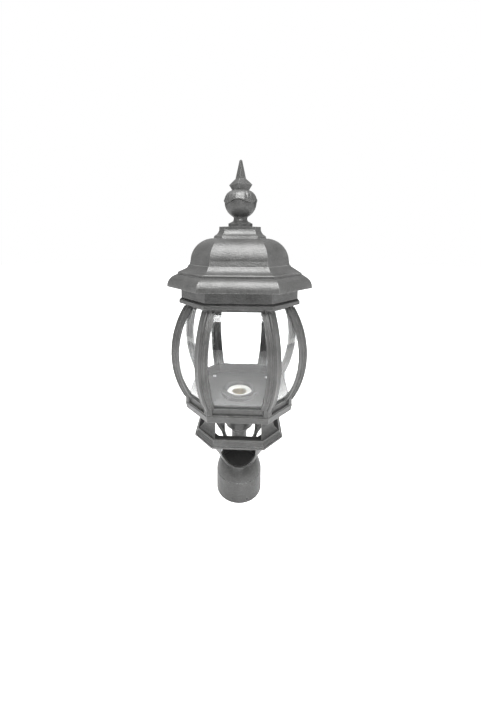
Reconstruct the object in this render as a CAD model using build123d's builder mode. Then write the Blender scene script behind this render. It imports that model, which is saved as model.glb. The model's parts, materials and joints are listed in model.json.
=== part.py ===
from build123d import *
import os
from math import asin, cos, degrees, radians, sin, sqrt, tan

# Post top lantern. Millimetres, +Z up, the front faces -Y.
# The origin is the centre of the fitter's rim, which the lantern stands on.
#
# Every flat-sided piece follows one plan: four wide faces at a distance "half" from the axis
# and four narrower corner faces, at 45 degrees, that stand corner_setback further out.

# ---------------------------------------------------------------- plan
corner_setback = 8.0
mitre = 22.5
face_clearance = 0.2            # between two castings that meet
reach = 300.0                   # longer than any piece, for cutters

# ---------------------------------------------------------------- post fitter
bore_radius = 38.9              # takes a 76.2 mm post
fitter_wall = 3.6
cup_height = 38.0
bore_depth = 42.0
crease_width = 1.8
crease_depth = 1.2
shoulder_height = 22.0          # from the cup to the waist
waist_radius = 33.5
neck_wall = 3.8
neck_height = 64.5              # from the waist to the flange
bowl_radius = 52.5
bowl_height = 33.0              # of that radius, above the waist
neck_top_radius = 69.0
neck_opening_half = 31.0
neck_opening_sill = 2.0         # above the waist
neck_pad_thickness = 4.0        # pads at the top of the four arms
neck_pad_radius = 78.0
neck_pad_inner_radius = 57.0

set_screw_radius = 2.5
set_screw_length = 3.4
set_screw_inset = 0.1           # of its tip behind the bore
set_screw_rise = 6.0
set_screw_angle = -68.0
set_screw_count = 3
set_screw_clearance = 0.05
set_screw_socket = 1.25
set_screw_socket_depth = 2.0

# ---------------------------------------------------------------- gallery
ring_half = 78.3
ring_lip = 2.3
ring_step = 2.1
ring_height = 12.5
ring_bead_half = 73.2
ring_opening_step = 2.5         # behind the legs' inside
leg_waist_half = 64.3
leg_waist_wall = 4.8
leg_foot_spread = 6.2
leg_waist_rise = 13.0           # above the ring
leg_height = 41.8
leg_top_inset = 9.8             # of the legs' top behind the tray's foot
leg_wall = 5.0
gallery_flange_thickness = 6.0
window_half = 40.0

# ---------------------------------------------------------------- tray
curb_half = 89.6                # outside of both cage rings
curb_wall = 5.0
fascia_width = 4.1              # of the ledge outside the curb
fascia_slope = 1.9
tray_rise = 10.0                # from the foot to the widest edge
fascia_height = 12.5
floor_thickness = 4.0
fascia_chamfer = 1.1
curb_height = 9.5               # above the fascia
boss_radius = 35.0
boss_height = 6.0

# ---------------------------------------------------------------- glass and ribs
glass_height = 159.6
glass_end_inset = 0.6           # of its outer face, at both ends, behind the curb's
glass_bulge = 21.5
glass_thickness = 3.0
glass_seat_gap = 0.2
panel_margin = 20.0             # of the cutters inside and outside of every panel
rib_gap = 0.2                   # between a rib and the glass
rib_flange_half = 10.8          # on the wide face
rib_flange_corner = 13.5        # on the corner face
rib_flange_thickness = 2.2
rib_step_half = 6.2
rib_step_thickness = 1.2
rib_bead_radius = 3.3
rib_bead_sink = 0.9             # of its centre below the step
rib_web_half = 1.1
rib_lip_half = 5.5
rib_lip_thickness = 1.8
rib_end_half = 7.0
rib_end_depth = 3.4
rib_end_lap = 1.5               # of the end block over the flange
rib_screw_radius = 1.5
rib_screw_head_radius = 2.5
rib_screw_head_height = 1.6
rib_screw_bite = 2.6            # inside the end block

# ---------------------------------------------------------------- cage top ring
top_curb_height = 6.6
top_flange_width = 13.3         # outside the curb
top_flange_thickness = 7.4
top_flange_bevel = 1.8

# ---------------------------------------------------------------- roof
gasket_gap = 0.3                # the roof lifts off with its gasket
gasket_thickness = 1.9
gasket_inset = 0.5
gasket_width = 5.5
skirt_inset = 3.3               # behind the flange's edge
roof_wall = 3.0
skirt_height = 19.5
eave_reach = 21.9               # outside the skirt
eave_run = 14.5
eave_height = 20.0
bead_inset = 1.8
bead_height = 4.8
cavetto_run = 17.4
cavetto_height = 11.5
dome_foot_inset = 1.4
dome_batter = 2.0
dome_batter_height = 8.5
dome_shoulder_run = 9.1
dome_shoulder_rise = 29.2
dome_height = 45.4
dome_run = 36.4                 # from the foot to the cap's seat
cap_foot_inset = 3.4
cap_foot_height = 4.2
cap_groove = 2.4
cap_run = 9.7
cap_height = 20.6
cap_edge = 0.8
cap_lid_thickness = 4.0

# ---------------------------------------------------------------- finial
finial_seat_gap = 0.3
finial_foot_radius = 22.4
finial_foot_height = 6.5
finial_bevel_height = 4.0
finial_neck_radius = 12.5
finial_neck_height = 8.5
bulb_radius = 29.5
bulb_rise = 27.6                # from the neck to the bulb's widest
bulb_height = 48.6
collar_base_radius = 16.0
collar_height = 21.4
collar_point_radius = 21.8
collar_valley_radius = 14.6
collar_rise = 10.2
collar_turn = -8.0
spike_radius = 9.9
spike_valley_radius = 8.0
spike_height = 34.3
spike_shoulder = 2.6            # where the tip begins to round
spike_tip = 1.2
spike_tip_height = 1.4
stud_radius = 4.0
stud_below_lid = 16.0
stud_in_finial = 20.0
thread_clearance = 0.05
finial_washer_radius = 12.0
finial_washer_thickness = 1.6
finial_nut_width = 13.0
finial_nut_height = 6.5

# ---------------------------------------------------------------- lamp
cup_flare = 2.5                 # from the body to the mouth
cup_rim_radius = 1.5
cup_body_radius = 26.0
cup_wall = 1.5
cup_drop = 66.0                 # from the boss to the bottom of the straight body
cup_taper_height = 8.0
tube_radius = 14.2
tube_wall = 1.5
tube_length = 27.0
tube_lap = 4.0                  # of the tube over the cup's spigot
lampholder_gap = 1.0            # to the inside of the cup
lampholder_height = 48.0
lampholder_below_boss = 3.0     # its face, below the boss's top
socket_radius = 14.3
socket_depth = 30.0
shell_wall = 0.5
shell_gap = 0.1
shell_height = 27.0
contact_radius = 4.0
contact_clearance = 2.0         # to the hole in the shell's floor
contact_height = 3.0
nipple_radius = 4.9
nipple_bore = 3.4
nipple_below_cup = 12.0
nipple_in_holder = 8.0
nut_width = 14.0
nut_thickness = 4.0
bar_width = 16.0
bar_thickness = 2.0

# ---------------------------------------------------------------- screws
small_screw_radius = 2.0
small_head_radius = 3.2
small_head_height = 2.4
screw_clearance = 0.1
curb_screw_side = -20.7
curb_screw_rise = 3.6           # above the floor
curb_screw_length = 7.6
dome_nut_width = 10.0
dome_nut_height = 3.6
dome_nut_crown = 3.2
dome_stud_radius = 3.0
dome_stud_reach = 5.0           # into the gallery
dome_nut_inset = 12.2           # from the gallery's outside, on the corner faces
roof_screw_side = -20.5
roof_screw_inset = 3.0          # behind the skirt's outer face
roof_screw_head_radius = 3.8
roof_screw_head_height = 3.2
roof_screw_boss = 4.8
roof_screw_grip = 12.0
neck_screw_circle = 73.0
neck_screw_in_ring = 7.0

# ---------------------------------------------------------------- heights and places that follow
leg_inside_half = leg_waist_half - leg_waist_wall
leg_foot_half = leg_waist_half + leg_foot_spread
ring_opening_half = leg_inside_half + ring_opening_step
cup_mouth_radius = cup_body_radius + cup_flare
lampholder_radius = cup_body_radius - cup_wall - lampholder_gap
tray_half = curb_half + fascia_width
tray_foot_half = tray_half - fascia_slope
leg_top_half = tray_foot_half - leg_top_inset
dome_nut_half = leg_top_half - dome_nut_inset
glass_end_half = curb_half - glass_end_inset
top_flange_half = curb_half + top_flange_width
skirt_half = top_flange_half - skirt_inset
roof_screw_half = skirt_half - roof_screw_inset
eave_half = skirt_half + eave_reach
bead_half = eave_half - eave_run - bead_inset
dome_foot_half = bead_half - cavetto_run - dome_foot_inset
dome_shoulder_half = dome_foot_half - dome_shoulder_run
dome_top_half = dome_foot_half - dome_run
cap_foot_half = dome_top_half - cap_foot_inset
cap_half = cap_foot_half - cap_run

cup_radius = bore_radius + fitter_wall
waist_z = cup_height + shoulder_height
pad_z = waist_z + neck_height
ring_z = pad_z + neck_pad_thickness
ring_top_z = ring_z + ring_height
tray_z = ring_top_z + leg_height
floor_z = tray_z + floor_thickness
ledge_z = tray_z + fascia_height
curb_z = ledge_z + curb_height
glass_z = curb_z + glass_seat_gap
glass_top_z = glass_z + glass_height
belly_z = glass_z + glass_height / 2
top_curb_z = glass_top_z + glass_seat_gap
top_flange_z = top_curb_z + top_curb_height
top_flange_top_z = top_flange_z + top_flange_thickness
gasket_z = top_flange_top_z + gasket_gap
skirt_z = gasket_z + gasket_thickness
eave_z = skirt_z + skirt_height
eave_top_z = eave_z + eave_height
bead_top_z = eave_top_z + bead_height
dome_z = bead_top_z + cavetto_height
dome_top_z = dome_z + dome_height
cap_z = dome_top_z
cap_top_z = cap_z + cap_height
finial_z = cap_top_z + finial_seat_gap

barrel_radius = ((glass_height / 2) ** 2 + glass_bulge**2) / (2 * glass_bulge)
barrel_centre = glass_end_half + glass_bulge - barrel_radius
panel_near = glass_end_half - panel_margin
panel_far = glass_end_half + glass_bulge + corner_setback + panel_margin
boss_top_z = floor_z + boss_height
curb_inside_half = curb_half - curb_wall
rib_foot_z = ledge_z
rib_head_z = top_flange_z
mitre_slope = tan(radians(mitre))
plan_corner = sqrt(2) * corner_setback

quarter_turns = (0, 90, 180, 270)
side_names = {0: "right", 90: "rear", 180: "left", 270: "front"}
corner_names = {0: "rear_right", 90: "rear_left", 180: "front_left", 270: "front_right"}
rib_names = {
    0: ("right_rear", "rear_right"),
    90: ("rear_left", "left_rear"),
    180: ("left_front", "front_left"),
    270: ("front_right", "right_front"),
}


def corner_places():
    """Name and place of the eight corners, each with +X outwards along its mitre."""
    places = {}
    for turn in quarter_turns:
        side_corner, next_corner = rib_names[turn]
        places[side_corner] = Location((0, 0, 0), (0, 0, turn)) * Location(
            (0, plan_corner, 0), (0, 0, mitre)
        )
        places[next_corner] = Location((0, 0, 0), (0, 0, turn)) * Location(
            (plan_corner, 0, 0), (0, 0, 90 - mitre)
        )
    return places


def upright(angle):
    """Vertical plane through the axis, with its x direction at the angle and its y upwards."""
    turn = radians(angle)
    return Plane(origin=(0, 0, 0), x_dir=(cos(turn), sin(turn), 0), z_dir=(sin(turn), -cos(turn), 0))


def octagon(half, mode=Mode.ADD):
    """The lantern's plan at a distance from the axis, in the current sketch."""
    side = sqrt(2) * (half + corner_setback) - half
    return Polygon(
        (half, -side),
        (half, side),
        (side, half),
        (-side, half),
        (-half, side),
        (-half, -side),
        (-side, -half),
        (side, -half),
        align=None,
        mode=mode,
    )


def faceted(draw_outline):
    """Solid whose wide and corner faces all follow one outline, drawn from the axis outwards."""
    with BuildPart() as solid:
        for angle, extra in ((0, 0), (90, 0), (45, corner_setback), (135, corner_setback)):
            with BuildSketch(upright(angle)):
                with BuildLine():
                    draw_outline(extra)
                make_face()
                mirror(about=Plane.YZ)
            extrude(amount=reach, both=True, mode=Mode.ADD if angle == 0 else Mode.INTERSECT)
    return solid.part


def save(piece, name):
    piece.part.label = name
    export_step(piece.part, f"parts/{name}.step")


def head_screw(radius, length, head_radius, head_height, points_up=True):
    """Screw along Z with the underside of its head at the origin."""
    way = 1 if points_up else -1
    with BuildPart() as screw:
        with BuildSketch(Plane.XY):
            Circle(radius)
        extrude(amount=way * length)
        with BuildSketch(Plane.XY):
            Circle(head_radius)
        extrude(amount=-way * head_height)
        rim = screw.edges().sort_by(Axis.Z)[0 if points_up else -1]
        fillet(rim, radius=head_height / 3)
    return screw.part


os.makedirs("parts", exist_ok=True)
corners = corner_places()

# ================================================================ post fitter
neck_inner_waist = waist_radius - neck_wall
bowl_z = waist_z + bowl_height
bowl_mid_z = waist_z + 0.45 * bowl_height
bowl_swell = 0.42 * (bowl_radius - waist_radius)
crease_z = cup_height - crease_width / 2
with BuildPart() as post_fitter:
    with BuildSketch(Plane.XZ):
        with BuildLine():
            Polyline(
                (0, 0),
                (cup_radius, 0),
                (cup_radius, cup_height - crease_width),
                (cup_radius - crease_depth, crease_z),
                (cup_radius, cup_height),
            )
            ThreePointArc(
                (cup_radius, cup_height),
                (waist_radius + 0.68 * (cup_radius - waist_radius), cup_height + 0.5 * shoulder_height),
                (waist_radius, waist_z),
            )
            ThreePointArc(
                (waist_radius, waist_z),
                (waist_radius + bowl_swell, bowl_mid_z),
                (bowl_radius, bowl_z),
            )
            Polyline(
                (bowl_radius, bowl_z),
                (neck_top_radius, pad_z),
                (neck_pad_radius, pad_z),
                (neck_pad_radius, ring_z),
                (0, ring_z),
                (0, 0),
            )
        make_face()
    revolve(axis=Axis.Z)
    with BuildSketch(Plane.XZ):
        with BuildLine():
            Polyline(
                (0, 0),
                (bore_radius, 0),
                (bore_radius, bore_depth),
                (neck_inner_waist, waist_z - neck_wall),
                (neck_inner_waist, waist_z),
            )
            ThreePointArc(
                (neck_inner_waist, waist_z),
                (neck_inner_waist + bowl_swell, bowl_mid_z + neck_wall / 2),
                (bowl_radius - neck_wall, bowl_z + neck_wall / 2),
            )
            Polyline(
                (bowl_radius - neck_wall, bowl_z + neck_wall / 2),
                (neck_pad_inner_radius, pad_z - neck_wall),
                (neck_pad_inner_radius, ring_z),
                (0, ring_z),
                (0, 0),
            )
        make_face()
    revolve(axis=Axis.Z, mode=Mode.SUBTRACT)
    # four U-shaped openings, one in each wide side, leave four arms that end in pads
    opening_centre_z = waist_z + neck_opening_sill + neck_opening_half
    for angle in (0, 90):
        with BuildSketch(upright(angle)):
            with Locations((0, opening_centre_z)):
                Circle(neck_opening_half)
            with Locations((0, opening_centre_z)):
                Rectangle(2 * neck_opening_half, reach, align=(Align.CENTER, Align.MIN))
        extrude(amount=reach, both=True, mode=Mode.SUBTRACT)
    # threaded holes for the set screws, and clear holes in the pads
    for number in range(set_screw_count):
        turn = radians(set_screw_angle + number * 360 / set_screw_count)
        outward = Plane(origin=(0, 0, set_screw_rise), z_dir=(cos(turn), sin(turn), 0))
        with BuildSketch(outward):
            Circle(set_screw_radius + set_screw_clearance)
        extrude(amount=reach, mode=Mode.SUBTRACT)
    with BuildSketch(Plane.XY.offset(ring_z)):
        with PolarLocations(neck_screw_circle, 4, start_angle=45):
            Circle(small_screw_radius + screw_clearance)
    extrude(amount=-neck_pad_thickness, mode=Mode.SUBTRACT)
save(post_fitter, "post_fitter")

for number in range(set_screw_count):
    turn = radians(set_screw_angle + number * 360 / set_screw_count)
    outward = Plane(origin=(0, 0, set_screw_rise), z_dir=(cos(turn), sin(turn), 0))
    with BuildPart() as set_screw:
        with BuildSketch(outward.offset(bore_radius + set_screw_inset)):
            Circle(set_screw_radius)
        extrude(amount=set_screw_length)
        with BuildSketch(outward.offset(bore_radius + set_screw_inset + set_screw_length)):
            RegularPolygon(radius=set_screw_socket, side_count=6, major_radius=False)
        extrude(amount=-set_screw_socket_depth, mode=Mode.SUBTRACT)
    save(set_screw, f"set_screw_{number + 1}")

# ================================================================ gallery
def gallery_outline(extra):
    step_z = ring_z + ring_lip
    bead_z = ring_top_z - ring_lip
    waist = leg_waist_half + extra
    waist_height = ring_top_z + leg_waist_rise
    foot = leg_foot_half + extra
    top = leg_top_half + extra
    Polyline(
        (0, tray_z),
        (0, ring_z),
        (ring_half + extra, ring_z),
        (ring_half + extra, step_z),
        (ring_half - ring_step + extra, step_z + ring_step / 2),
        (ring_half - ring_step + extra, step_z + ring_step),
        (ring_bead_half + extra, bead_z - ring_step / 2),
        (ring_bead_half + extra, ring_top_z - ring_step / 3),
        (ring_bead_half - ring_step / 2 + extra, ring_top_z),
        (foot, ring_top_z),
    )
    ThreePointArc(
        (foot, ring_top_z),
        (waist + 0.24 * (foot - waist), ring_top_z + 0.44 * leg_waist_rise),
        (waist, waist_height),
    )
    ThreePointArc(
        (waist, waist_height),
        (waist + 0.26 * (top - waist), waist_height + 0.58 * (tray_z - waist_height)),
        (top, tray_z),
    )
    Line((top, tray_z), (0, tray_z))


def gallery_hollow(extra):
    inside = leg_inside_half + extra
    waist_height = ring_top_z + leg_waist_rise
    Polyline((0, tray_z), (0, ring_top_z), (inside, ring_top_z), (inside, waist_height))
    ThreePointArc(
        (inside, waist_height),
        (inside + 0.26 * (leg_top_half - leg_waist_half), waist_height + 0.58 * (tray_z - waist_height)),
        (leg_top_half - leg_wall + extra, tray_z),
    )
    Line((leg_top_half - leg_wall + extra, tray_z), (0, tray_z))


gallery_outside = faceted(gallery_outline)
gallery_inside = faceted(gallery_hollow)
dome_nut_radius = dome_nut_half + corner_setback
with BuildPart() as gallery:
    add(gallery_outside)
    add(gallery_inside, mode=Mode.SUBTRACT)
    window_top = tray_z - gallery_flange_thickness
    for angle in (0, 90):
        with BuildSketch(upright(angle)):
            with Locations((0, (ring_top_z + window_top) / 2)):
                Rectangle(2 * window_half, window_top - ring_top_z)
        extrude(amount=reach, both=True, mode=Mode.SUBTRACT)
    # top flange that the tray rests on
    with BuildSketch(Plane.XY.offset(window_top)):
        octagon(leg_top_half - leg_wall / 2)
        octagon(leg_inside_half, mode=Mode.SUBTRACT)
    extrude(amount=gallery_flange_thickness)
    add(gallery_outside, mode=Mode.INTERSECT)
    with BuildSketch(Plane.XY.offset(ring_z)):
        octagon(ring_opening_half)
        Rectangle(
            2 * (leg_inside_half + corner_setback),
            2 * (leg_inside_half + corner_setback),
            rotation=45,
            mode=Mode.INTERSECT,
        )
    extrude(amount=ring_height, mode=Mode.SUBTRACT)
    with BuildSketch(Plane.XY.offset(tray_z)):
        with PolarLocations(dome_nut_radius, 4, start_angle=45):
            Circle(dome_stud_radius + screw_clearance)
    extrude(amount=-dome_stud_reach, mode=Mode.SUBTRACT)
    # threaded holes for the screws that come up through the neck's pads
    with BuildSketch(Plane.XY.offset(ring_z)):
        with PolarLocations(neck_screw_circle, 4, start_angle=45):
            Circle(small_screw_radius + thread_clearance)
    extrude(amount=neck_screw_in_ring + 0.5, mode=Mode.SUBTRACT)
save(gallery, "gallery")

# ================================================================ tray and lower cage ring
def tray_outline(extra):
    Polyline(
        (0, ledge_z),
        (0, tray_z),
        (tray_foot_half + extra, tray_z),
        (tray_half + extra, tray_z + tray_rise),
        (tray_half - fascia_chamfer + extra, ledge_z),
        (0, ledge_z),
    )


tray_outside = faceted(tray_outline)
with BuildPart() as tray:
    add(tray_outside)
    with BuildSketch(Plane.XY.offset(floor_z)):
        octagon(curb_half + face_clearance)
    extrude(amount=fascia_height, mode=Mode.SUBTRACT)
    with BuildSketch(Plane.XY.offset(floor_z)):
        Circle(boss_radius)
    extrude(amount=boss_height)
    with BuildSketch(Plane.XY.offset(tray_z)):
        Circle(cup_body_radius + face_clearance)
        with PolarLocations(dome_nut_radius, 4, start_angle=45):
            Circle(dome_stud_radius + screw_clearance)
    extrude(amount=floor_thickness + boss_height, mode=Mode.SUBTRACT)
    curb_screw_z = floor_z + curb_screw_rise
    with BuildSketch(Plane.XZ):
        with Locations((curb_screw_side, curb_screw_z)):
            Circle(small_screw_radius + screw_clearance)
    extrude(amount=curb_inside_half + curb_screw_length, both=True, mode=Mode.SUBTRACT)
save(tray, "tray")

rib_screw_z = (ledge_z + curb_z) / 2
top_rib_screw_z = (top_curb_z + top_flange_z) / 2


def corner_drill(height, run, radius, depth):
    """Cylinder along one corner's mitre, that begins at a run from the axis, in the corner's frame."""
    with BuildPart() as drill:
        with BuildSketch(Plane.YZ.offset(run)):
            with Locations((0, height)):
                Circle(radius)
        extrude(amount=depth)
    return drill.part


def corner_run(half):
    """Distance along the mitre at which the plan has this half width."""
    return half / cos(radians(mitre))


rib_seat_run = corner_run(curb_inside_half) + rib_screw_head_radius * mitre_slope + 0.2
lower_drill = corner_drill(rib_screw_z, 0, rib_screw_head_radius + 0.2, rib_seat_run)
lower_bore = corner_drill(rib_screw_z, 0, rib_screw_radius + screw_clearance, corner_run(curb_half) + 2)
upper_drill = corner_drill(top_rib_screw_z, 0, rib_screw_head_radius + 0.2, rib_seat_run)
upper_bore = corner_drill(top_rib_screw_z, 0, rib_screw_radius + screw_clearance, corner_run(curb_half) + 2)
with BuildPart() as cage_bottom_ring:
    with BuildSketch(Plane.XY.offset(floor_z)):
        octagon(curb_half)
        octagon(curb_inside_half, mode=Mode.SUBTRACT)
    extrude(amount=curb_z - floor_z)
    for place in corners.values():
        add(place * lower_drill, mode=Mode.SUBTRACT)
        add(place * lower_bore, mode=Mode.SUBTRACT)
    with BuildSketch(Plane.XZ):
        with Locations((curb_screw_side, curb_screw_z)):
            Circle(small_screw_radius + screw_clearance)
    extrude(amount=reach, both=True, mode=Mode.SUBTRACT)
save(cage_bottom_ring, "cage_bottom_ring")

# ================================================================ cage top ring
with BuildPart() as cage_top_ring:
    with BuildSketch(Plane.XY.offset(top_curb_z)):
        octagon(curb_half)
    extrude(amount=top_curb_height)
    with BuildSketch(Plane.XY.offset(top_flange_z)):
        octagon(top_flange_half)
    extrude(amount=top_flange_thickness)
    chamfer(
        cage_top_ring.faces().sort_by(Axis.Z)[-1].edges(),
        length=top_flange_bevel,
    )
    with BuildSketch(Plane.XY.offset(top_curb_z)):
        octagon(curb_inside_half)
    extrude(amount=top_curb_height + top_flange_thickness, mode=Mode.SUBTRACT)
    for place in corners.values():
        add(place * upper_drill, mode=Mode.SUBTRACT)
        add(place * upper_bore, mode=Mode.SUBTRACT)
    with BuildSketch(Plane.XY.offset(top_flange_z)):
        with Locations((roof_screw_side, -roof_screw_half), (roof_screw_side, roof_screw_half)):
            Circle(small_screw_radius + screw_clearance)
    extrude(amount=top_flange_thickness, mode=Mode.SUBTRACT)
save(cage_top_ring, "cage_top_ring")

# ================================================================ glass
def barrel_line(standoff, low, high, setback=0):
    """Upright arc of the barrel shape, at a distance outside the glass, between two heights."""
    radius = barrel_radius + standoff
    centre = barrel_centre + setback
    low_x = centre + sqrt(radius**2 - (low - belly_z) ** 2)
    high_x = centre + sqrt(radius**2 - (high - belly_z) ** 2)
    ThreePointArc((low_x, low), (centre + radius, belly_z), (high_x, high))
    return low_x, high_x


def glass_panel(setback, side_start):
    """Curved panel on +X, with its side edges beside the ribs' webs."""
    edge_gap = (rib_web_half + rib_gap) / cos(radians(mitre))
    with BuildPart() as panel:
        with BuildSketch(Plane.XZ):
            with BuildLine():
                outer = barrel_line(0, glass_z, glass_top_z, setback)
                inner = barrel_line(-glass_thickness, glass_z, glass_top_z, setback)
                Line((outer[0], glass_z), (inner[0], glass_z))
                Line((outer[1], glass_top_z), (inner[1], glass_top_z))
            make_face()
        extrude(amount=reach / 2, both=True)
        near_side = mitre_slope * panel_near + side_start - edge_gap
        far_side = mitre_slope * panel_far + side_start - edge_gap
        with BuildSketch(Plane.XY.offset(glass_z)):
            Polygon(
                (panel_near, -near_side),
                (panel_far, -far_side),
                (panel_far, far_side),
                (panel_near, near_side),
                align=None,
            )
        extrude(amount=glass_height, mode=Mode.INTERSECT)
    return panel.part


wide_panel = glass_panel(0, plan_corner)
corner_panel = glass_panel(corner_setback, -plan_corner)
for turn in quarter_turns:
    with BuildPart() as glass:
        add(wide_panel.rotate(Axis.Z, turn))
    save(glass, f"glass_{side_names[turn]}")
    with BuildPart() as corner_glass:
        add(corner_panel.rotate(Axis.Z, turn + 45))
    save(corner_glass, f"glass_corner_{corner_names[turn]}")

# ================================================================ ribs
def barrel_corner(standoff, low, high):
    """Solid under two barrel faces that meet on the mitre, in a corner's frame."""
    with BuildPart() as solid:
        for angle in (-mitre, mitre):
            with BuildSketch(upright(angle)):
                with BuildLine():
                    ends = barrel_line(standoff, low, high)
                    Polyline((ends[0], low), (0, low), (0, high), (ends[1], high))
                make_face()
            extrude(amount=reach, both=True, mode=Mode.ADD if angle < 0 else Mode.INTERSECT)
    return solid.part


def slab(wide_side, corner_side):
    """Block over one corner, that reaches these distances to the sides of the mitre."""
    with BuildPart() as block:
        with BuildSketch(Plane.XY.offset(glass_z)):
            with Locations((panel_near, -wide_side)):
                Rectangle(panel_far - panel_near, wide_side + corner_side, align=Align.MIN)
        extrude(amount=glass_height)
    return block.part


shells = {
    level: barrel_corner(level, glass_z, glass_top_z)
    for level in (
        rib_gap + rib_flange_thickness + rib_step_thickness,
        rib_gap + rib_flange_thickness,
        rib_gap,
        -glass_thickness - rib_gap,
        -glass_thickness - rib_gap - rib_lip_thickness,
    )
}
step_level, flange_level, seat_level, lip_level, inner_level = shells
bead_centre = rib_gap + rib_flange_thickness + rib_step_thickness - rib_bead_sink
bead_radius = barrel_radius + bead_centre
bead_low_run = corner_run(barrel_centre + sqrt(bead_radius**2 - (glass_height / 2) ** 2))
bead_mid_run = corner_run(barrel_centre + bead_radius)
with BuildPart() as rib_flange:
    add(shells[flange_level])
    add(slab(rib_flange_half, rib_flange_corner), mode=Mode.INTERSECT)
with BuildPart() as rib_step:
    add(shells[step_level])
    add(slab(rib_step_half, rib_step_half), mode=Mode.INTERSECT)
with BuildPart() as rib_lip:
    add(shells[lip_level])
    add(slab(rib_lip_half, rib_lip_half), mode=Mode.INTERSECT)
with BuildPart() as rib_web:
    add(shells[step_level])
    add(slab(rib_web_half, rib_web_half), mode=Mode.INTERSECT)
with BuildPart() as rib_bead:
    with BuildLine(Plane.XZ) as bead_path:
        ThreePointArc((bead_low_run, glass_z), (bead_mid_run, belly_z), (bead_low_run, glass_top_z))
    with BuildSketch(Plane(origin=(bead_low_run, 0, glass_z), z_dir=bead_path.line % 0)):
        Circle(rib_bead_radius)
    sweep(path=bead_path.line)
with BuildPart() as rib_ends:
    # blocks that stand against the outside of the two cage rings
    near_run = corner_run(curb_half + face_clearance)
    far_run = corner_run(curb_half + face_clearance + rib_end_depth)
    fall = rib_end_half * mitre_slope
    for bottom, top in ((rib_foot_z, glass_z + rib_end_lap), (glass_top_z - rib_end_lap, rib_head_z)):
        with BuildSketch(Plane.XY.offset(bottom)):
            Polygon(
                (near_run, 0),
                (near_run - fall, rib_end_half),
                (far_run - fall, rib_end_half),
                (far_run, 0),
                (far_run - fall, -rib_end_half),
                (near_run - fall, -rib_end_half),
                align=None,
            )
        extrude(amount=top - bottom)
rib_bore_run = corner_run(curb_half + face_clearance) + rib_screw_bite
with BuildPart() as rib_form:
    add(rib_flange.part)
    add(rib_step.part)
    add(rib_ends.part)
    add(shells[seat_level], mode=Mode.SUBTRACT)
    add(rib_lip.part)
    add(rib_web.part)
    add(shells[inner_level], mode=Mode.SUBTRACT)
    add(rib_bead.part)
    # square off what the bead leaves above and below the ends
    with BuildSketch(Plane.XY.offset(rib_foot_z)):
        with Locations((panel_near, 0)):
            Rectangle(panel_far - panel_near, 4 * rib_flange_half, align=(Align.MIN, Align.CENTER))
    extrude(amount=rib_head_z - rib_foot_z, mode=Mode.INTERSECT)
    for height in (rib_screw_z, top_rib_screw_z):
        add(
            corner_drill(height, 0, rib_screw_radius + screw_clearance, rib_bore_run),
            mode=Mode.SUBTRACT,
        )
with BuildPart() as rib_other_hand:
    add(rib_form.part)
    mirror(about=Plane.XZ, mode=Mode.REPLACE)
for number, (name, place) in enumerate(corners.items()):
    # the first of each pair has its corner face on the left, the other on the right
    form = rib_other_hand if number % 2 else rib_form
    with BuildPart() as rib:
        add(place * form.part)
    save(rib, f"rib_{name}")

rib_screw_length = rib_bore_run - rib_seat_run - 0.2
rib_screw = head_screw(rib_screw_radius, rib_screw_length, rib_screw_head_radius, rib_screw_head_height)
outwards = Location((rib_seat_run, 0, 0), (0, 90, 0))
for name, height in (("rib_bottom_screws", rib_screw_z), ("rib_top_screws", top_rib_screw_z)):
    with BuildPart() as rib_screws:
        for place in corners.values():
            add(place * Location((0, 0, height)) * outwards * rib_screw)
    save(rib_screws, name)

# ================================================================ roof
def roof_outline(extra):
    bead_edge = 1.0
    Polyline(
        (0, skirt_z),
        (skirt_half + extra, skirt_z),
        (skirt_half + extra, eave_z),
        (eave_half + extra, eave_z),
        (eave_half + extra, eave_z + 2),
    )
    ThreePointArc(
        (eave_half + extra, eave_z + 2),
        (eave_half - 0.3 * eave_run + extra, eave_z + 2 + 0.66 * (eave_height - 2)),
        (eave_half - eave_run + extra, eave_top_z),
    )
    Polyline(
        (eave_half - eave_run + extra, eave_top_z),
        (bead_half + extra, eave_top_z),
        (bead_half + extra, bead_top_z - bead_edge),
        (bead_half - bead_edge + extra, bead_top_z),
    )
    ThreePointArc(
        (bead_half - bead_edge + extra, bead_top_z),
        (bead_half - 0.7 * cavetto_run + extra, bead_top_z + 0.36 * cavetto_height),
        (bead_half - cavetto_run + extra, dome_z),
    )
    Polyline(
        (bead_half - cavetto_run + extra, dome_z),
        (dome_foot_half + extra, dome_z),
        (dome_foot_half - dome_batter + extra, dome_z + dome_batter_height),
    )
    ThreePointArc(
        (dome_foot_half - dome_batter + extra, dome_z + dome_batter_height),
        (dome_shoulder_half + extra, dome_z + dome_shoulder_rise),
        (dome_top_half + extra, dome_top_z),
    )
    Polyline(
        (dome_top_half + extra, dome_top_z),
        (cap_foot_half + extra, dome_top_z),
        (cap_foot_half - 1.2 + extra, cap_z + cap_foot_height),
        (cap_foot_half - cap_groove + extra, cap_z + cap_foot_height + cap_edge),
    )
    ThreePointArc(
        (cap_foot_half - cap_groove + extra, cap_z + cap_foot_height + cap_edge),
        (cap_half + 1.9 + extra, cap_z + cap_foot_height + 6),
        (cap_half + extra, cap_top_z - 4.5),
    )
    Polyline(
        (cap_half + extra, cap_top_z - 4.5),
        (cap_half + extra, cap_top_z),
        (0, cap_top_z),
        (0, skirt_z),
    )


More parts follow.
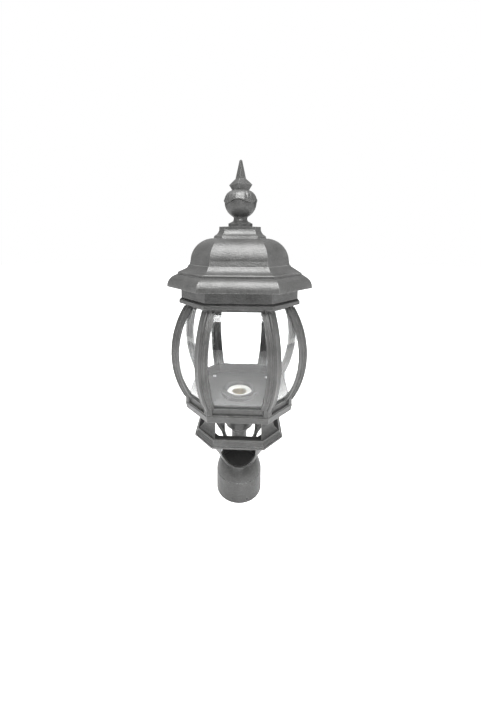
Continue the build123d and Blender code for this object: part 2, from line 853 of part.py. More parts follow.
def roof_inside(extra):
    wall = roof_wall
    Polyline(
        (0, skirt_z),
        (skirt_half - wall + extra, skirt_z),
        (skirt_half - wall + extra, eave_z + wall),
        (eave_half - wall + extra, eave_z + wall),
    )
    ThreePointArc(
        (eave_half - wall + extra, eave_z + wall),
        (eave_half - 0.3 * eave_run - 0.8 * wall + extra, eave_z + 0.66 * eave_height - 0.6 * wall),
        (eave_half - eave_run + extra - wall, eave_top_z - 0.8 * wall),
    )
    Polyline(
        (eave_half - eave_run + extra - wall, eave_top_z - 0.8 * wall),
        (bead_half - wall + extra, bead_top_z - wall),
        (bead_half - 0.7 * cavetto_run - wall + extra, bead_top_z + 0.3 * cavetto_height - wall / 2),
        (dome_foot_half - wall + extra, dome_z),
        (dome_foot_half - dome_batter - wall + extra, dome_z + dome_batter_height),
    )
    ThreePointArc(
        (dome_foot_half - dome_batter - wall + extra, dome_z + dome_batter_height),
        (dome_shoulder_half - 0.8 * wall + extra, dome_z + dome_shoulder_rise - 0.6 * wall),
        (dome_top_half - wall / 2 + extra, dome_top_z - wall),
    )
    Polyline(
        (dome_top_half - wall / 2 + extra, dome_top_z - wall),
        (cap_foot_half - 2 * wall + extra, dome_top_z - wall),
        (cap_half - wall + extra, cap_z + cap_foot_height + 6),
        (cap_half - wall + extra, cap_top_z - cap_lid_thickness),
        (0, cap_top_z - cap_lid_thickness),
        (0, skirt_z),
    )


roof_shape = faceted(roof_outline)
roof_hollow = faceted(roof_inside)
with BuildPart() as roof_core:
    add(roof_hollow)
    with BuildSketch(Plane.XY.offset(skirt_z)):
        with Locations((roof_screw_side, -roof_screw_half), (roof_screw_side, roof_screw_half)):
            Circle(roof_screw_boss)
    extrude(amount=roof_screw_grip + 2, mode=Mode.SUBTRACT)
with BuildPart() as roof:
    add(roof_shape)
    add(roof_core.part, mode=Mode.SUBTRACT)
    with BuildSketch(Plane.XY.offset(cap_top_z)):
        Circle(stud_radius + screw_clearance)
    extrude(amount=-cap_lid_thickness, mode=Mode.SUBTRACT)
    with BuildSketch(Plane.XY.offset(skirt_z)):
        with Locations((roof_screw_side, -roof_screw_half), (roof_screw_side, roof_screw_half)):
            Circle(small_screw_radius + thread_clearance)
    extrude(amount=roof_screw_grip, mode=Mode.SUBTRACT)
save(roof, "roof")

with BuildPart() as roof_gasket:
    with BuildSketch(Plane.XY.offset(gasket_z)):
        octagon(skirt_half - gasket_inset)
        octagon(skirt_half - gasket_inset - gasket_width, mode=Mode.SUBTRACT)
        with Locations((roof_screw_side, -roof_screw_half), (roof_screw_side, roof_screw_half)):
            Circle(small_screw_radius + 2 * face_clearance, mode=Mode.SUBTRACT)
    extrude(amount=gasket_thickness)
save(roof_gasket, "roof_gasket")

roof_screw = head_screw(
    small_screw_radius,
    top_flange_thickness + gasket_gap + gasket_thickness + roof_screw_grip - 1,
    roof_screw_head_radius,
    roof_screw_head_height,
)
with BuildPart() as roof_screws:
    add(Pos(roof_screw_side, -roof_screw_half, top_flange_z) * roof_screw)
    add(Pos(roof_screw_side, roof_screw_half, top_flange_z) * roof_screw)
save(roof_screws, "roof_screws")

# ================================================================ finial and its fixing
def star(point_radius, valley_radius):
    points = []
    for number in range(8):
        turn = radians(270 + collar_turn + 45 * number)
        radius = valley_radius if number % 2 else point_radius
        points.append((radius * cos(turn), radius * sin(turn)))
    return Polygon(*points, align=None)


foot_top = finial_z + finial_foot_height + finial_bevel_height
neck_top = foot_top + finial_neck_height
bulb_top = neck_top + bulb_height
collar_top = bulb_top + collar_height
spike_top = collar_top + spike_height
with BuildPart() as finial:
    with BuildSketch(Plane.XZ):
        with BuildLine():
            Polyline(
                (0, finial_z),
                (finial_foot_radius, finial_z),
                (finial_foot_radius, finial_z + finial_foot_height),
                (finial_neck_radius + 2, foot_top),
            )
            ThreePointArc(
                (finial_neck_radius + 2, foot_top),
                (finial_neck_radius, (foot_top + neck_top) / 2),
                (finial_neck_radius + 1, neck_top),
            )
            ThreePointArc(
                (finial_neck_radius + 1, neck_top),
                (0.83 * bulb_radius, neck_top + 0.36 * bulb_rise),
                (bulb_radius, neck_top + bulb_rise),
            )
            ThreePointArc(
                (bulb_radius, neck_top + bulb_rise),
                (0.9 * bulb_radius, neck_top + bulb_rise + 0.58 * (bulb_height - bulb_rise)),
                (collar_base_radius - 1, bulb_top),
            )
            Polyline((collar_base_radius - 1, bulb_top), (0, bulb_top), (0, finial_z))
        make_face()
    revolve(axis=Axis.Z)
    with BuildSketch(Plane.XY.offset(bulb_top - 1)):
        star(collar_base_radius - 1, collar_base_radius - 2)
    with BuildSketch(Plane.XY.offset(bulb_top + collar_rise)):
        star(collar_point_radius, collar_valley_radius)
    with BuildSketch(Plane.XY.offset(collar_top)):
        star(spike_radius, spike_valley_radius)
    loft(ruled=True)
    with BuildSketch(Plane.XY.offset(collar_top)):
        star(spike_radius, spike_valley_radius)
    with BuildSketch(Plane.XY.offset(spike_top - spike_tip_height)):
        star(spike_shoulder, 0.9 * spike_shoulder)
    loft(ruled=True)
    with BuildSketch(Plane.XY.offset(spike_top - spike_tip_height)):
        star(spike_shoulder, 0.9 * spike_shoulder)
    with BuildSketch(Plane.XY.offset(spike_top)):
        star(spike_tip, 0.9 * spike_tip)
    loft(ruled=True)
    with BuildSketch(Plane.XY.offset(finial_z)):
        Circle(stud_radius + thread_clearance)
    extrude(amount=stud_in_finial + 1, mode=Mode.SUBTRACT)
save(finial, "finial")

with BuildPart() as finial_stud:
    with BuildSketch(Plane.XY.offset(cap_top_z - stud_below_lid)):
        Circle(stud_radius)
    extrude(amount=stud_below_lid + stud_in_finial)
save(finial_stud, "finial_stud")

washer_z = cap_top_z - cap_lid_thickness - finial_washer_thickness
with BuildPart() as finial_washer:
    with BuildSketch(Plane.XY.offset(washer_z)):
        Circle(finial_washer_radius)
        Circle(stud_radius + screw_clearance, mode=Mode.SUBTRACT)
    extrude(amount=finial_washer_thickness)
save(finial_washer, "finial_washer")

with BuildPart() as finial_nut:
    with BuildSketch(Plane.XY.offset(washer_z - finial_nut_height)):
        RegularPolygon(radius=finial_nut_width / 2, side_count=6, major_radius=False)
        Circle(stud_radius + thread_clearance, mode=Mode.SUBTRACT)
    extrude(amount=finial_nut_height)
save(finial_nut, "finial_nut")

# ================================================================ lamp cup and lampholder
cup_bottom_z = boss_top_z - cup_drop
collar_z = cup_bottom_z - cup_taper_height
tube_top_z = collar_z + 0.5
with BuildPart() as lamp_cup:
    with BuildSketch(Plane.XZ):
        with BuildLine():
            Polyline(
                (cup_mouth_radius + cup_rim_radius, boss_top_z),
                (cup_body_radius, boss_top_z),
                (cup_body_radius, cup_bottom_z),
                (tube_radius + cup_wall, collar_z),
                (tube_radius + cup_wall, collar_z - tube_lap),
                (tube_radius + thread_clearance, collar_z - tube_lap),
                (tube_radius + thread_clearance, tube_top_z),
                (cup_body_radius - cup_wall, cup_bottom_z + 0.6),
                (cup_body_radius - cup_wall, boss_top_z + 0.6),
                (cup_mouth_radius - cup_rim_radius, boss_top_z + 2 * cup_rim_radius),
            )
            ThreePointArc(
                (cup_mouth_radius - cup_rim_radius, boss_top_z + 2 * cup_rim_radius),
                (cup_mouth_radius + cup_rim_radius, boss_top_z + 1.6 * cup_rim_radius),
                (cup_mouth_radius + cup_rim_radius, boss_top_z),
            )
        make_face()
    revolve(axis=Axis.Z)
    # bar across the cup that carries the nipple
    bar_z = cup_bottom_z + 1
    with BuildSketch(Plane.XY.offset(bar_z)):
        Circle(cup_body_radius - cup_wall / 2)
        Rectangle(2 * cup_body_radius, bar_width, mode=Mode.INTERSECT)
        Circle(nipple_radius + screw_clearance, mode=Mode.SUBTRACT)
    extrude(amount=bar_thickness)
save(lamp_cup, "lamp_cup")

with BuildPart() as wire_tube:
    with BuildSketch(Plane.XY.offset(tube_top_z)):
        Circle(tube_radius)
        Circle(tube_radius - tube_wall, mode=Mode.SUBTRACT)
    extrude(amount=-tube_length)
save(wire_tube, "wire_tube")

holder_top_z = boss_top_z - lampholder_below_boss
holder_z = holder_top_z - lampholder_height
socket_z = holder_top_z - socket_depth
with BuildPart() as lampholder_body:
    with BuildSketch(Plane.XY.offset(holder_z)):
        Circle(lampholder_radius)
    extrude(amount=lampholder_height)
    fillet(lampholder_body.edges().filter_by(GeomType.CIRCLE), radius=1.5)
    with BuildSketch(Plane.XY.offset(socket_z)):
        Circle(socket_radius)
    extrude(amount=socket_depth, mode=Mode.SUBTRACT)
    with BuildSketch(Plane.XY.offset(holder_z)):
        Circle(nipple_radius + screw_clearance)
    extrude(amount=nipple_in_holder, mode=Mode.SUBTRACT)
save(lampholder_body, "lampholder_body")

with BuildPart() as screw_shell:
    with BuildSketch(Plane.XY.offset(socket_z)):
        Circle(socket_radius - shell_gap)
    extrude(amount=shell_height)
    with BuildSketch(Plane.XY.offset(socket_z)):
        Circle(contact_radius + contact_clearance)
    extrude(amount=shell_wall, mode=Mode.SUBTRACT)
    with BuildSketch(Plane.XY.offset(socket_z + shell_wall)):
        Circle(socket_radius - shell_gap - shell_wall)
    extrude(amount=shell_height, mode=Mode.SUBTRACT)
save(screw_shell, "screw_shell")

with BuildPart() as centre_contact:
    with BuildSketch(Plane.XY.offset(socket_z)):
        Circle(contact_radius)
    extrude(amount=contact_height)
    fillet(centre_contact.edges().sort_by(Axis.Z)[-1], radius=1.2)
save(centre_contact, "centre_contact")

nipple_z = bar_z - nipple_below_cup
with BuildPart() as lampholder_nipple:
    with BuildSketch(Plane.XY.offset(nipple_z)):
        Circle(nipple_radius)
        Circle(nipple_bore, mode=Mode.SUBTRACT)
    extrude(amount=holder_z + nipple_in_holder - nipple_z)
save(lampholder_nipple, "lampholder_nipple")

with BuildPart() as nipple_nuts:
    for nut_z in (bar_z - nut_thickness, bar_z + bar_thickness):
        with BuildSketch(Plane.XY.offset(nut_z)):
            RegularPolygon(radius=nut_width / 2, side_count=6, major_radius=False)
            Circle(nipple_radius + thread_clearance, mode=Mode.SUBTRACT)
        extrude(amount=nut_thickness)
save(nipple_nuts, "nipple_nuts")

# ================================================================ other screws and nuts
with BuildPart() as dome_nut:
    with BuildSketch(Plane.XY):
        RegularPolygon(radius=dome_nut_width / 2, side_count=6, major_radius=False)
    extrude(amount=dome_nut_height)
    with BuildSketch(Plane.XY.offset(dome_nut_height)):
        Circle(dome_nut_width / 2 - 0.4)
    extrude(amount=dome_nut_crown)
    fillet(dome_nut.edges().sort_by(Axis.Z)[-1], radius=dome_nut_crown - 0.2)
    with BuildSketch(Plane.XY):
        Circle(dome_stud_radius + thread_clearance)
    extrude(amount=dome_nut_height + 0.6, mode=Mode.SUBTRACT)
with BuildPart() as tray_dome_nuts:
    for turn in quarter_turns:
        turned = Location((0, 0, 0), (0, 0, 45 + turn))
        add(turned * Pos(dome_nut_radius, 0, floor_z) * dome_nut.part)
save(tray_dome_nuts, "tray_dome_nuts")

with BuildPart() as tray_studs:
    with BuildSketch(Plane.XY.offset(tray_z - dome_stud_reach)):
        with PolarLocations(dome_nut_radius, 4, start_angle=45):
            Circle(dome_stud_radius)
    extrude(amount=dome_stud_reach + floor_thickness + dome_nut_height)
save(tray_studs, "tray_studs")

curb_screw = head_screw(small_screw_radius, curb_screw_length, small_head_radius, small_head_height)
with BuildPart() as curb_screws:
    for tilt in (90, -90):
        place = -curb_inside_half if tilt == 90 else curb_inside_half
        add(Location((curb_screw_side, place, curb_screw_z), (tilt, 0, 0)) * curb_screw)
save(curb_screws, "curb_screws")

neck_screw = head_screw(
    small_screw_radius,
    neck_pad_thickness + neck_screw_in_ring,
    small_head_radius,
    small_head_height,
)
with BuildPart() as neck_screws:
    for turn in quarter_turns:
        turned = Location((0, 0, 0), (0, 0, 45 + turn))
        add(turned * Pos(neck_screw_circle, 0, pad_z) * neck_screw)
save(neck_screws, "neck_screws")
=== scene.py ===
import json
import math

import bmesh
import bpy
from mathutils import Matrix, Vector


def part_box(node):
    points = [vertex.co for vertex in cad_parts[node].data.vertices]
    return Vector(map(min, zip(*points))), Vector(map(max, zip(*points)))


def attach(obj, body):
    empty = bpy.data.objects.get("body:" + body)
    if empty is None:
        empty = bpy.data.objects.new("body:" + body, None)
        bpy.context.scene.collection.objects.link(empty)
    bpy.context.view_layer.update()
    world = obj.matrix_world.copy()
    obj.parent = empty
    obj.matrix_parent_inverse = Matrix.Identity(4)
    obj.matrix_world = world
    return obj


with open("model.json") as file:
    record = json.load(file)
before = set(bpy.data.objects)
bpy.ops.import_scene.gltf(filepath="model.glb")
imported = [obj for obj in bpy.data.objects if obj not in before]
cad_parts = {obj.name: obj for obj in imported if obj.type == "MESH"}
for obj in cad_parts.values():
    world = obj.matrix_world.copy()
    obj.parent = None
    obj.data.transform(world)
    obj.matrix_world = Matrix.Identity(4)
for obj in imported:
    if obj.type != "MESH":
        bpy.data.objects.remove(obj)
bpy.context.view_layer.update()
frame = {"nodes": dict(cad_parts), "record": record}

# The photograph is 481 x 701. The camera's place comes from a fit to the object's edges.
PHOTO_HEIGHT = 701.0            # its longer side, which the camera's sensor follows
FOCAL_PIXELS = 296.27
SHIFT_PIXELS = (1.8, -93.0)
CAMERA_PLACE = (0.0163, -0.5539, 0.4812)
CAMERA_HEADING = 1.991          # degrees to the left of straight back
CAMERA_DOWN = 3.57
CAMERA_ROLL = 0.333
SENSOR_WIDTH = 36.0             # in millimetres
CAMERA_CLIP = 0.01


# ---------------------------------------------------------------- small helpers for node materials
class Shader:
    """A material's node tree, with short ways to add and link nodes. Scales are per metre."""

    def __init__(self, name):
        self.material = bpy.data.materials.new(name)
        self.material.use_nodes = True
        self.tree = self.material.node_tree
        self.tree.nodes.clear()
        self.out = self.tree.nodes.new("ShaderNodeOutputMaterial")
        self.bsdf = self.tree.nodes.new("ShaderNodeBsdfPrincipled")
        self.tree.links.new(self.bsdf.outputs[0], self.out.inputs["Surface"])
        self.place = self.tree.nodes.new("ShaderNodeTexCoord").outputs["Object"]

    def set(self, socket, value):
        self.bsdf.inputs[socket].default_value = value

    def link(self, output, target):
        self.tree.links.new(output, target)

    def noise(self, scale, detail=4.0, rough=0.6, stretch=None):
        node = self.tree.nodes.new("ShaderNodeTexNoise")
        node.inputs["Scale"].default_value = scale
        node.inputs["Detail"].default_value = detail
        node.inputs["Roughness"].default_value = rough
        source = self.place
        if stretch:
            mapping = self.tree.nodes.new("ShaderNodeMapping")
            mapping.inputs["Scale"].default_value = stretch
            self.link(source, mapping.inputs["Vector"])
            source = mapping.outputs[0]
        self.link(source, node.inputs["Vector"])
        return node.outputs["Fac"]

    def cells(self, scale, randomness=1.0):
        node = self.tree.nodes.new("ShaderNodeTexVoronoi")
        node.inputs["Scale"].default_value = scale
        node.inputs["Randomness"].default_value = randomness
        self.link(self.place, node.inputs["Vector"])
        return node.outputs["Distance"]

    def ramp(self, value, low, high, start=0.0, end=1.0):
        """Maps a value from start..end to low..high."""
        node = self.tree.nodes.new("ShaderNodeMapRange")
        node.inputs["From Min"].default_value = start
        node.inputs["From Max"].default_value = end
        node.inputs["To Min"].default_value = low
        node.inputs["To Max"].default_value = high
        self.link(value, node.inputs["Value"])
        return node.outputs["Result"]

    def math(self, kind, first, second):
        node = self.tree.nodes.new("ShaderNodeMath")
        node.operation = kind
        for index, value in enumerate((first, second)):
            if isinstance(value, (int, float)):
                node.inputs[index].default_value = value
            else:
                self.link(value, node.inputs[index])
        return node.outputs[0]

    def blend(self, factor, first, second):
        node = self.tree.nodes.new("ShaderNodeMix")
        node.data_type = "RGBA"
        self.link(factor, node.inputs["Factor"])
        for name, value in (("A", first), ("B", second)):
            socket = [s for s in node.inputs if s.name == name and s.type == "RGBA"][0]
            if isinstance(value, tuple):
                socket.default_value = (*value, 1.0)
            else:
                self.link(value, socket)
        return [s for s in node.outputs if s.type == "RGBA"][0]

    def bump(self, height, strength, distance, normal=None):
        node = self.tree.nodes.new("ShaderNodeBump")
        node.inputs["Strength"].default_value = strength
        node.inputs["Distance"].default_value = distance
        self.link(height, node.inputs["Height"])
        if normal is not None:
            self.link(normal, node.inputs["Normal"])
        return node.outputs["Normal"]

    def edges(self, radius):
        """Near 1 along sharp edges, where the rounded normal leaves the flat one; else 0."""
        bevel = self.tree.nodes.new("ShaderNodeBevel")
        bevel.samples = 4
        bevel.inputs["Radius"].default_value = radius
        flat = self.tree.nodes.new("ShaderNodeNewGeometry")
        dot = self.tree.nodes.new("ShaderNodeVectorMath")
        dot.operation = "DOT_PRODUCT"
        self.link(bevel.outputs[0], dot.inputs[0])
        self.link(flat.outputs["Normal"], dot.inputs[1])
        return self.ramp(dot.outputs["Value"], 1.0, 0.0, 0.80, 0.985)

    def colour(self, output):
        self.link(output, self.bsdf.inputs["Base Color"])

    def roughness(self, output):
        self.link(output, self.bsdf.inputs["Roughness"])

    def normal(self, output):
        self.link(output, self.bsdf.inputs["Normal"])


SPECK_LIGHTER = 2.2             # times the paint's light tone
# sharp edges are painted this much lighter, partly as worn paint and partly as a painted highlight
# along beads and ledges
EDGE_WEAR_AND_HIGHLIGHT_LIGHTER = 5.0
EDGE_WEAR_AND_HIGHLIGHT_RADIUS = 0.0010            # of the rounding that marks an edge


def times(colour, factor):
    return tuple(min(1.0, c * factor) for c in colour)


def cast_paint(name, dark, light, rough):
    """Satin paint on sand-cast metal: fine grain, soft mottling, and sharp edges painted lighter,
    partly as thin worn paint and partly as a painted highlight.
    """
    s = Shader(name)
    mottle = s.noise(28.0, 6.0, 0.65)
    fine = s.noise(430.0, 4.0, 0.75)
    tone = s.blend(s.ramp(mottle, 0.0, 1.0, 0.3, 0.7), dark, light)
    speck = s.ramp(fine, 0.0, 0.35, 0.45, 0.75)
    tone = s.blend(speck, tone, times(light, SPECK_LIGHTER))
    # painted highlight: sharp edges, broken up by noise patches, are painted lighter, partly as
    # worn paint and partly as a painted highlight
    edges = s.edges(EDGE_WEAR_AND_HIGHLIGHT_RADIUS)
    patches = s.ramp(s.noise(120.0, 4.0, 0.7), 0.25, 0.95, 0.35, 0.65)
    wear_and_highlight = s.math("MULTIPLY", edges, patches)
    s.colour(s.blend(wear_and_highlight, tone, times(light, EDGE_WEAR_AND_HIGHLIGHT_LIGHTER)))
    s.set("Metallic", 0.35)
    s.set("Specular IOR Level", 0.5)
    s.roughness(s.ramp(s.noise(60.0, 5.0, 0.6), rough - 0.06, rough + 0.08, 0.3, 0.7))
    skin = s.bump(fine, 0.34, 0.0008)
    skin = s.bump(s.cells(300.0), 0.30, 0.0008, skin)
    s.normal(s.bump(mottle, 0.10, 0.0008, skin))
    return s.material


def clear_glass():
    """Clear panes with a faint film, which let the lamps' light through."""
    s = Shader("clear_glass")
    s.set("Transmission Weight", 1.0)
    s.set("IOR", 1.45)
    s.set("Specular IOR Level", 0.5)
    film = s.noise(9.0, 5.0, 0.6, (1.0, 1.0, 0.5))
    filmed = s.ramp(film, 0.0, 1.0, 0.35, 0.75)
    s.colour(s.blend(filmed, (0.985, 0.992, 0.99), (0.955, 0.965, 0.965)))
    s.roughness(s.ramp(film, 0.0, 0.02, 0.4, 0.7))
    s.normal(s.bump(s.noise(14.0, 2.0, 0.4), 0.02, 0.0006))
    # shadow rays pass through the panes, so what stands behind them is lit
    clear = s.tree.nodes.new("ShaderNodeBsdfTransparent")
    clear.inputs["Color"].default_value = (0.95, 0.96, 0.96, 1.0)
    path = s.tree.nodes.new("ShaderNodeLightPath")
    mix = s.tree.nodes.new("ShaderNodeMixShader")
    s.link(path.outputs["Is Shadow Ray"], mix.inputs[0])
    s.link(s.bsdf.outputs[0], mix.inputs[1])
    s.link(clear.outputs[0], mix.inputs[2])
    s.link(mix.outputs[0], s.out.inputs["Surface"])
    return s.material


def bare_metal(name, colour, rough, brushed=(1.0, 1.0, 1.0), variation=0.10):
    """Plated or turned metal with fine marks and tarnish."""
    s = Shader(name)
    marks = s.noise(700.0, 3.0, 0.6, brushed)
    haze = s.noise(60.0, 5.0, 0.6)
    s.colour(s.blend(s.ramp(haze, 0.0, 1.0, 0.35, 0.7), colour, times(colour, 0.72)))
    s.set("Metallic", 1.0)
    s.roughness(s.ramp(marks, rough, rough + variation, 0.3, 0.7))
    s.normal(s.bump(marks, 0.08, 0.0002))
    return s.material


def rubber():
    """Matt black rubber with a dusty grain."""
    s = Shader("gasket_rubber")
    grain = s.noise(800.0, 3.0, 0.6)
    s.colour(s.blend(s.noise(40.0), (0.018, 0.018, 0.018), (0.045, 0.045, 0.045)))
    s.roughness(s.ramp(grain, 0.7, 0.9))
    s.normal(s.bump(grain, 0.2, 0.0002))
    return s.material


def porcelain():
    """Glazed white porcelain with a few dark specks."""
    s = Shader("porcelain")
    cloud = s.noise(45.0, 4.0, 0.5)
    specks = s.ramp(s.cells(260.0), 1.0, 0.0, 0.0, 0.10)
    tone = s.blend(cloud, (0.80, 0.79, 0.76), (0.70, 0.69, 0.66))
    s.colour(s.blend(s.math("MULTIPLY", specks, 0.3), tone, (0.35, 0.33, 0.30)))
    s.roughness(s.ramp(cloud, 0.12, 0.26, 0.3, 0.7))
    s.set("Coat Weight", 0.4)
    s.set("Coat Roughness", 0.08)
    s.normal(s.bump(cloud, 0.05, 0.0005))
    return s.material


MATERIALS = {
    "cast": cast_paint("cast_paint", (0.030, 0.030, 0.029), (0.060, 0.060, 0.059), 0.38),
    "glass": clear_glass(),
    "gasket": rubber(),
    "steel": bare_metal("plated_steel", (0.62, 0.62, 0.61), 0.25),
    "screws": bare_metal("dark_steel", (0.10, 0.10, 0.10), 0.38),
    "chrome": bare_metal("chrome_plate", (0.85, 0.85, 0.86), 0.07, variation=0.05),
    "porcelain": porcelain(),
    "brass": bare_metal("brass", (0.80, 0.72, 0.52), 0.34, (1.0, 1.0, 6.0)),
}

slot_of = {part["node"]: part["material_slot"] for part in frame["record"]["subparts"]}
for name, node in frame["nodes"].items():
    for slot in node.material_slots:
        slot.material = MATERIALS[slot_of[name]]

# ---------------------------------------------------------------- carved leaf cap on the bulb
# Heights are above the finial's foot, in metres.
BULB_WAIST = (0.0135, 0.0190)           # radius and height of the bulb's lower end
BULB_LOW = (0.0245, 0.0289)
BULB_WIDEST = (0.0295, 0.0466)
BULB_HIGH = (0.02655, 0.0588)
BULB_TOP = (0.0150, 0.0676)
LEAF_COUNT = 4
LEAF_TURN = math.radians(-8.0)          # the arch between two leaves faces the front
LEAF_ARCH_HEIGHT = 0.0486
LEAF_DROP = 0.0062                      # of each leaf's tip below the arches
LEAF_SKIN = 0.0005
LEAF_ROLL = 0.0011                      # of the rolled edge over the skin
LEAF_ROLL_SHARE = 0.10                  # the roll's width, as a share of the leaf's length
LEAF_ROLL_PLACE = 0.6                   # of its crest, in widths from the leaf's edge
LEAF_SINK = 0.0006                      # of its inner side in the bulb
FOLD_DEPTH = 0.0004
FOLD_LEAST = 0.1                        # share of the folds that is left at the arches
FOLDS = 24
LEAF_STEPS = 224                        # around the bulb
LEAF_ROWS = 30                          # from the leaves' edge to the bulb's top


def circle_through(first, second, third):
    """Centre and radius of the circle through three points of a plane."""
    (ax, ay), (bx, by), (cx, cy) = first, second, third
    d = 2 * (ax * (by - cy) + bx * (cy - ay) + cx * (ay - by))
    a, b, c = ax**2 + ay**2, bx**2 + by**2, cx**2 + cy**2
    x = (a * (by - cy) + b * (cy - ay) + c * (ay - by)) / d
    y = (a * (cx - bx) + b * (ax - cx) + c * (bx - ax)) / d
    return x, y, math.hypot(ax - x, ay - y)


LOWER_BULB = circle_through(BULB_WAIST, BULB_LOW, BULB_WIDEST)
UPPER_BULB = circle_through(BULB_WIDEST, BULB_HIGH, BULB_TOP)


def bulb_radius(height):
    """The bulb's radius at a height above the foot, from the two arcs of its profile."""
    x, y, radius = UPPER_BULB if height > BULB_WIDEST[1] else LOWER_BULB
    return x + math.sqrt(max(0.0, radius**2 - (height - y) ** 2))


def leaf_cap():
    """A closed skin of four leaves over the bulb's upper half, which turns with the finial."""
    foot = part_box("finial")[0][2]
    mesh = bpy.data.meshes.new("finial_leaf_cap")
    bm = bmesh.new()
    rings = []
    for row in range(LEAF_ROWS + 1):
        share = row / LEAF_ROWS
        ring = []
        for step in range(LEAF_STEPS):
            angle = 2 * math.pi * step / LEAF_STEPS
            lobe = math.sin(LEAF_COUNT / 2 * (angle - LEAF_TURN)) ** 2
            edge = LEAF_ARCH_HEIGHT - LEAF_DROP * lobe
            height = edge + (BULB_TOP[1] - edge) * share
            roll = LEAF_ROLL * math.exp(-((share / LEAF_ROLL_SHARE - LEAF_ROLL_PLACE) ** 2))
            depth = FOLD_DEPTH * (FOLD_LEAST + lobe)
            fold = depth * math.cos(FOLDS * angle) * math.sin(math.pi * share)
            radius = bulb_radius(height) + LEAF_SKIN + roll + fold
            x, y = radius * math.cos(angle), radius * math.sin(angle)
            ring.append(bm.verts.new((x, y, foot + height)))
        rings.append(ring)
    # the inner side is two more rings, and the first ring closes it
    for row in (LEAF_ROWS, 0):
        ring = []
        for vert in rings[row]:
            inner = bulb_radius(vert.co.z - foot) - LEAF_SINK
            flat = Vector((vert.co.x, vert.co.y, 0.0)).normalized() * inner
            ring.append(bm.verts.new((flat.x, flat.y, vert.co.z)))
        rings.append(ring)
    rings.append(rings[0])
    for number, (lower, upper) in enumerate(zip(rings, rings[1:])):
        for step in range(LEAF_STEPS):
            after = (step + 1) % LEAF_STEPS
            face = bm.faces.new((lower[step], lower[after], upper[after], upper[step]))
            face.smooth = number < LEAF_ROWS
    bmesh.ops.recalc_face_normals(bm, faces=bm.faces)
    bm.to_mesh(mesh)
    bm.free()
    cap = bpy.data.objects.new("finial_leaf_cap", mesh)
    cap.data.materials.append(MATERIALS["cast"])
    bpy.context.collection.objects.link(cap)
    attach(cap, "finial")


leaf_cap()


# ---------------------------------------------------------------- studio
FLOOR_RADIUS = 6.0
FLOOR_SIDES = 64
FLOOR_GLOW_LEAST = 0.30         # what the floor gives to the other rays
FLOOR_GLOW_SEEN = 0.75          # to rays from the camera, straight or through a pane
ROOM_LOW = 0.12                 # the world's light at the horizon
ROOM_HIGH = 1.1                 # and overhead
ROOM_HIGH_FROM = 0.9            # of the way up


def floor_material():
    """White paper. What it gives depends on the kind of ray, not on the camera's place."""
    s = Shader("studio_floor")
    grain = s.noise(40.0, 3.0, 0.5)
    s.colour(s.blend(grain, (0.93, 0.93, 0.93), (0.95, 0.95, 0.95)))
    s.roughness(s.ramp(grain, 0.75, 0.85))
    # seen plainly or through the panes it is paper white, but it throws little light upwards
    s.set("Emission Color", (1.0, 1.0, 1.0, 1.0))
    path = s.tree.nodes.new("ShaderNodeLightPath")
    plain = s.math("MAXIMUM", path.outputs["Is Camera Ray"], path.outputs["Is Transmission Ray"])
    s.link(s.ramp(plain, FLOOR_GLOW_LEAST, FLOOR_GLOW_SEEN), s.bsdf.inputs["Emission Strength"])
    return s.material


mesh = bpy.data.meshes.new("studio_floor")
bm = bmesh.new()
bmesh.ops.create_circle(bm, cap_ends=True, segments=FLOOR_SIDES, radius=FLOOR_RADIUS)
bm.to_mesh(mesh)
bm.free()
floor = bpy.data.objects.new("studio_floor", mesh)
floor.data.materials.append(floor_material())
bpy.context.collection.objects.link(floor)

world = bpy.data.worlds.new("studio")
bpy.context.scene.world = world
world.use_nodes = True
tree = world.node_tree
tree.nodes.clear()
world_out = tree.nodes.new("ShaderNodeOutputWorld")
seen, lit = (tree.nodes.new("ShaderNodeBackground") for _ in range(2))
for background in (seen, lit):
    background.inputs["Color"].default_value = (1.0, 1.0, 1.0, 1.0)
seen.inputs["Strength"].default_value = 1.0
# the room is bright above and dim towards the horizon
where = tree.nodes.new("ShaderNodeTexCoord")
split = tree.nodes.new("ShaderNodeSeparateXYZ")
height = tree.nodes.new("ShaderNodeMapRange")
height.inputs["From Min"].default_value = 0.0
height.inputs["From Max"].default_value = ROOM_HIGH_FROM
height.inputs["To Min"].default_value = ROOM_LOW
height.inputs["To Max"].default_value = ROOM_HIGH
tree.links.new(where.outputs["Generated"], split.inputs[0])
tree.links.new(split.outputs["Z"], height.inputs["Value"])
tree.links.new(height.outputs["Result"], lit.inputs["Strength"])
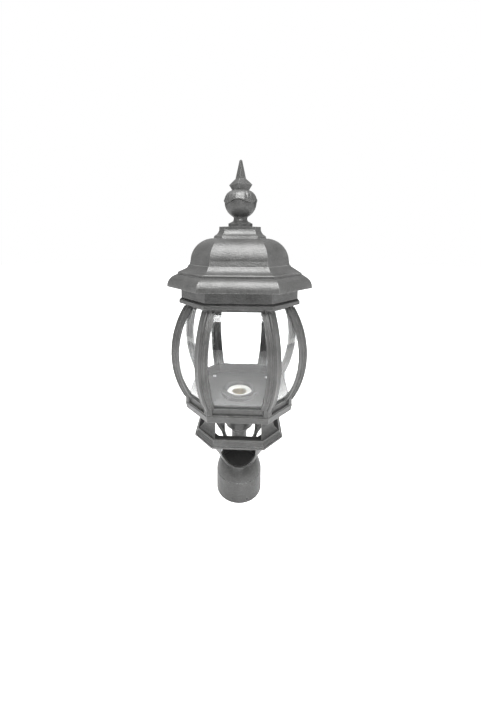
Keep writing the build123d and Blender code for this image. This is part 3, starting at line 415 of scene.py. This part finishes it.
# the camera sees plain white behind the object
path = tree.nodes.new("ShaderNodeLightPath")
mix = tree.nodes.new("ShaderNodeMixShader")
tree.links.new(path.outputs["Is Camera Ray"], mix.inputs[0])
tree.links.new(lit.outputs[0], mix.inputs[1])
tree.links.new(seen.outputs[0], mix.inputs[2])
tree.links.new(mix.outputs[0], world_out.inputs["Surface"])


def area_light(name, place, target, size, power):
    """A rectangular light, aimed at a point. Sizes are in metres and power in watts."""
    data = bpy.data.lights.new(name, "AREA")
    data.shape = "RECTANGLE"
    data.size, data.size_y = size
    data.energy = power
    light = bpy.data.objects.new(name, data)
    light.location = place
    light.rotation_mode = "QUATERNION"
    light.rotation_quaternion = (Vector(target) - Vector(place)).to_track_quat("-Z", "Y")
    bpy.context.collection.objects.link(light)


area_light("front_light", (0.0, -1.0, 1.40), (0, 0, 0.42), (1.0, 0.8), 29.0)
area_light("top_light", (0.0, -0.45, 1.80), (0, 0, 0.40), (1.2, 0.7), 36.0)
area_light("left_light", (-1.5, -0.1, 0.7), (0, 0, 0.35), (0.8, 1.2), 5.0)
area_light("right_light", (1.5, -0.1, 0.7), (0, 0, 0.35), (0.8, 1.2), 7.0)

scene = bpy.context.scene
scene.view_settings.view_transform = "Standard"
scene.view_settings.look = "None"
scene.view_settings.exposure = 0.0
scene.view_settings.gamma = 1.0

# ---------------------------------------------------------------- camera
data = bpy.data.cameras.new("photo_camera")
data.sensor_width = SENSOR_WIDTH
data.lens = FOCAL_PIXELS * data.sensor_width / PHOTO_HEIGHT
data.shift_x = SHIFT_PIXELS[0] / PHOTO_HEIGHT
data.shift_y = SHIFT_PIXELS[1] / PHOTO_HEIGHT
data.clip_start = CAMERA_CLIP
camera = bpy.data.objects.new("photo_camera", data)
turn = Matrix.Rotation(math.radians(CAMERA_HEADING), 4, "Z")
tilt = Matrix.Rotation(math.radians(90.0 - CAMERA_DOWN), 4, "X")
roll = Matrix.Rotation(math.radians(CAMERA_ROLL), 4, "Z")
camera.matrix_world = Matrix.Translation(CAMERA_PLACE) @ turn @ tilt @ roll
bpy.context.collection.objects.link(camera)
scene.camera = camera
